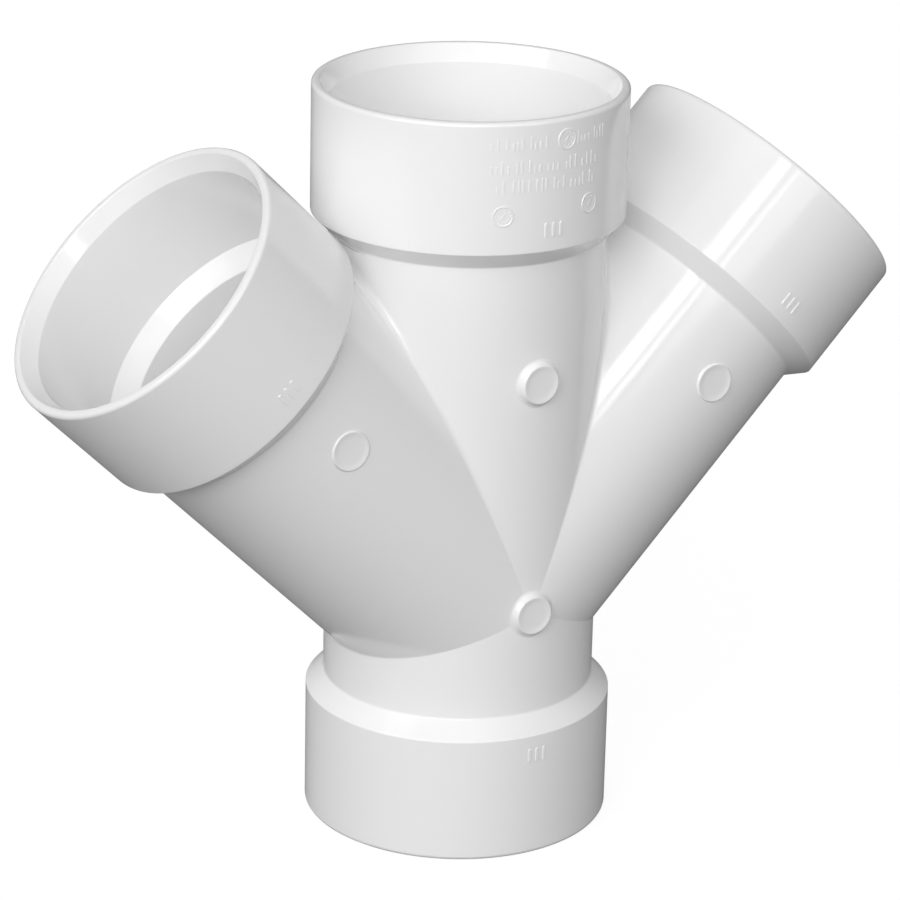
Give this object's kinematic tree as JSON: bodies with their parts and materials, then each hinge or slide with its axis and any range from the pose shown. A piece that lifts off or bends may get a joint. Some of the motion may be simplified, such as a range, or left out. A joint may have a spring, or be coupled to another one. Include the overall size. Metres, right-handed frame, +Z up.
{
  "type": "double wye",
  "caption": "Moulded plastic drain fitting: a straight run with two 45 degree branches on opposite sides, a solvent-weld socket at each end, and round pads on its front.",
  "frame": {"origin": "centre of the bottom hub's face, on the axis of the run", "axes": "+Z up the run, +X towards the right branch; the moulded pads face -Y"},
  "size_m": [0.3036, 0.1004, 0.2469],
  "materials": {
    "moulded_pvc": "smooth moulded rigid PVC, glossy white"
  },
  "bodies": {
    "root": {"double_wye": "moulded_pvc"}
  },
  "joints": []
}
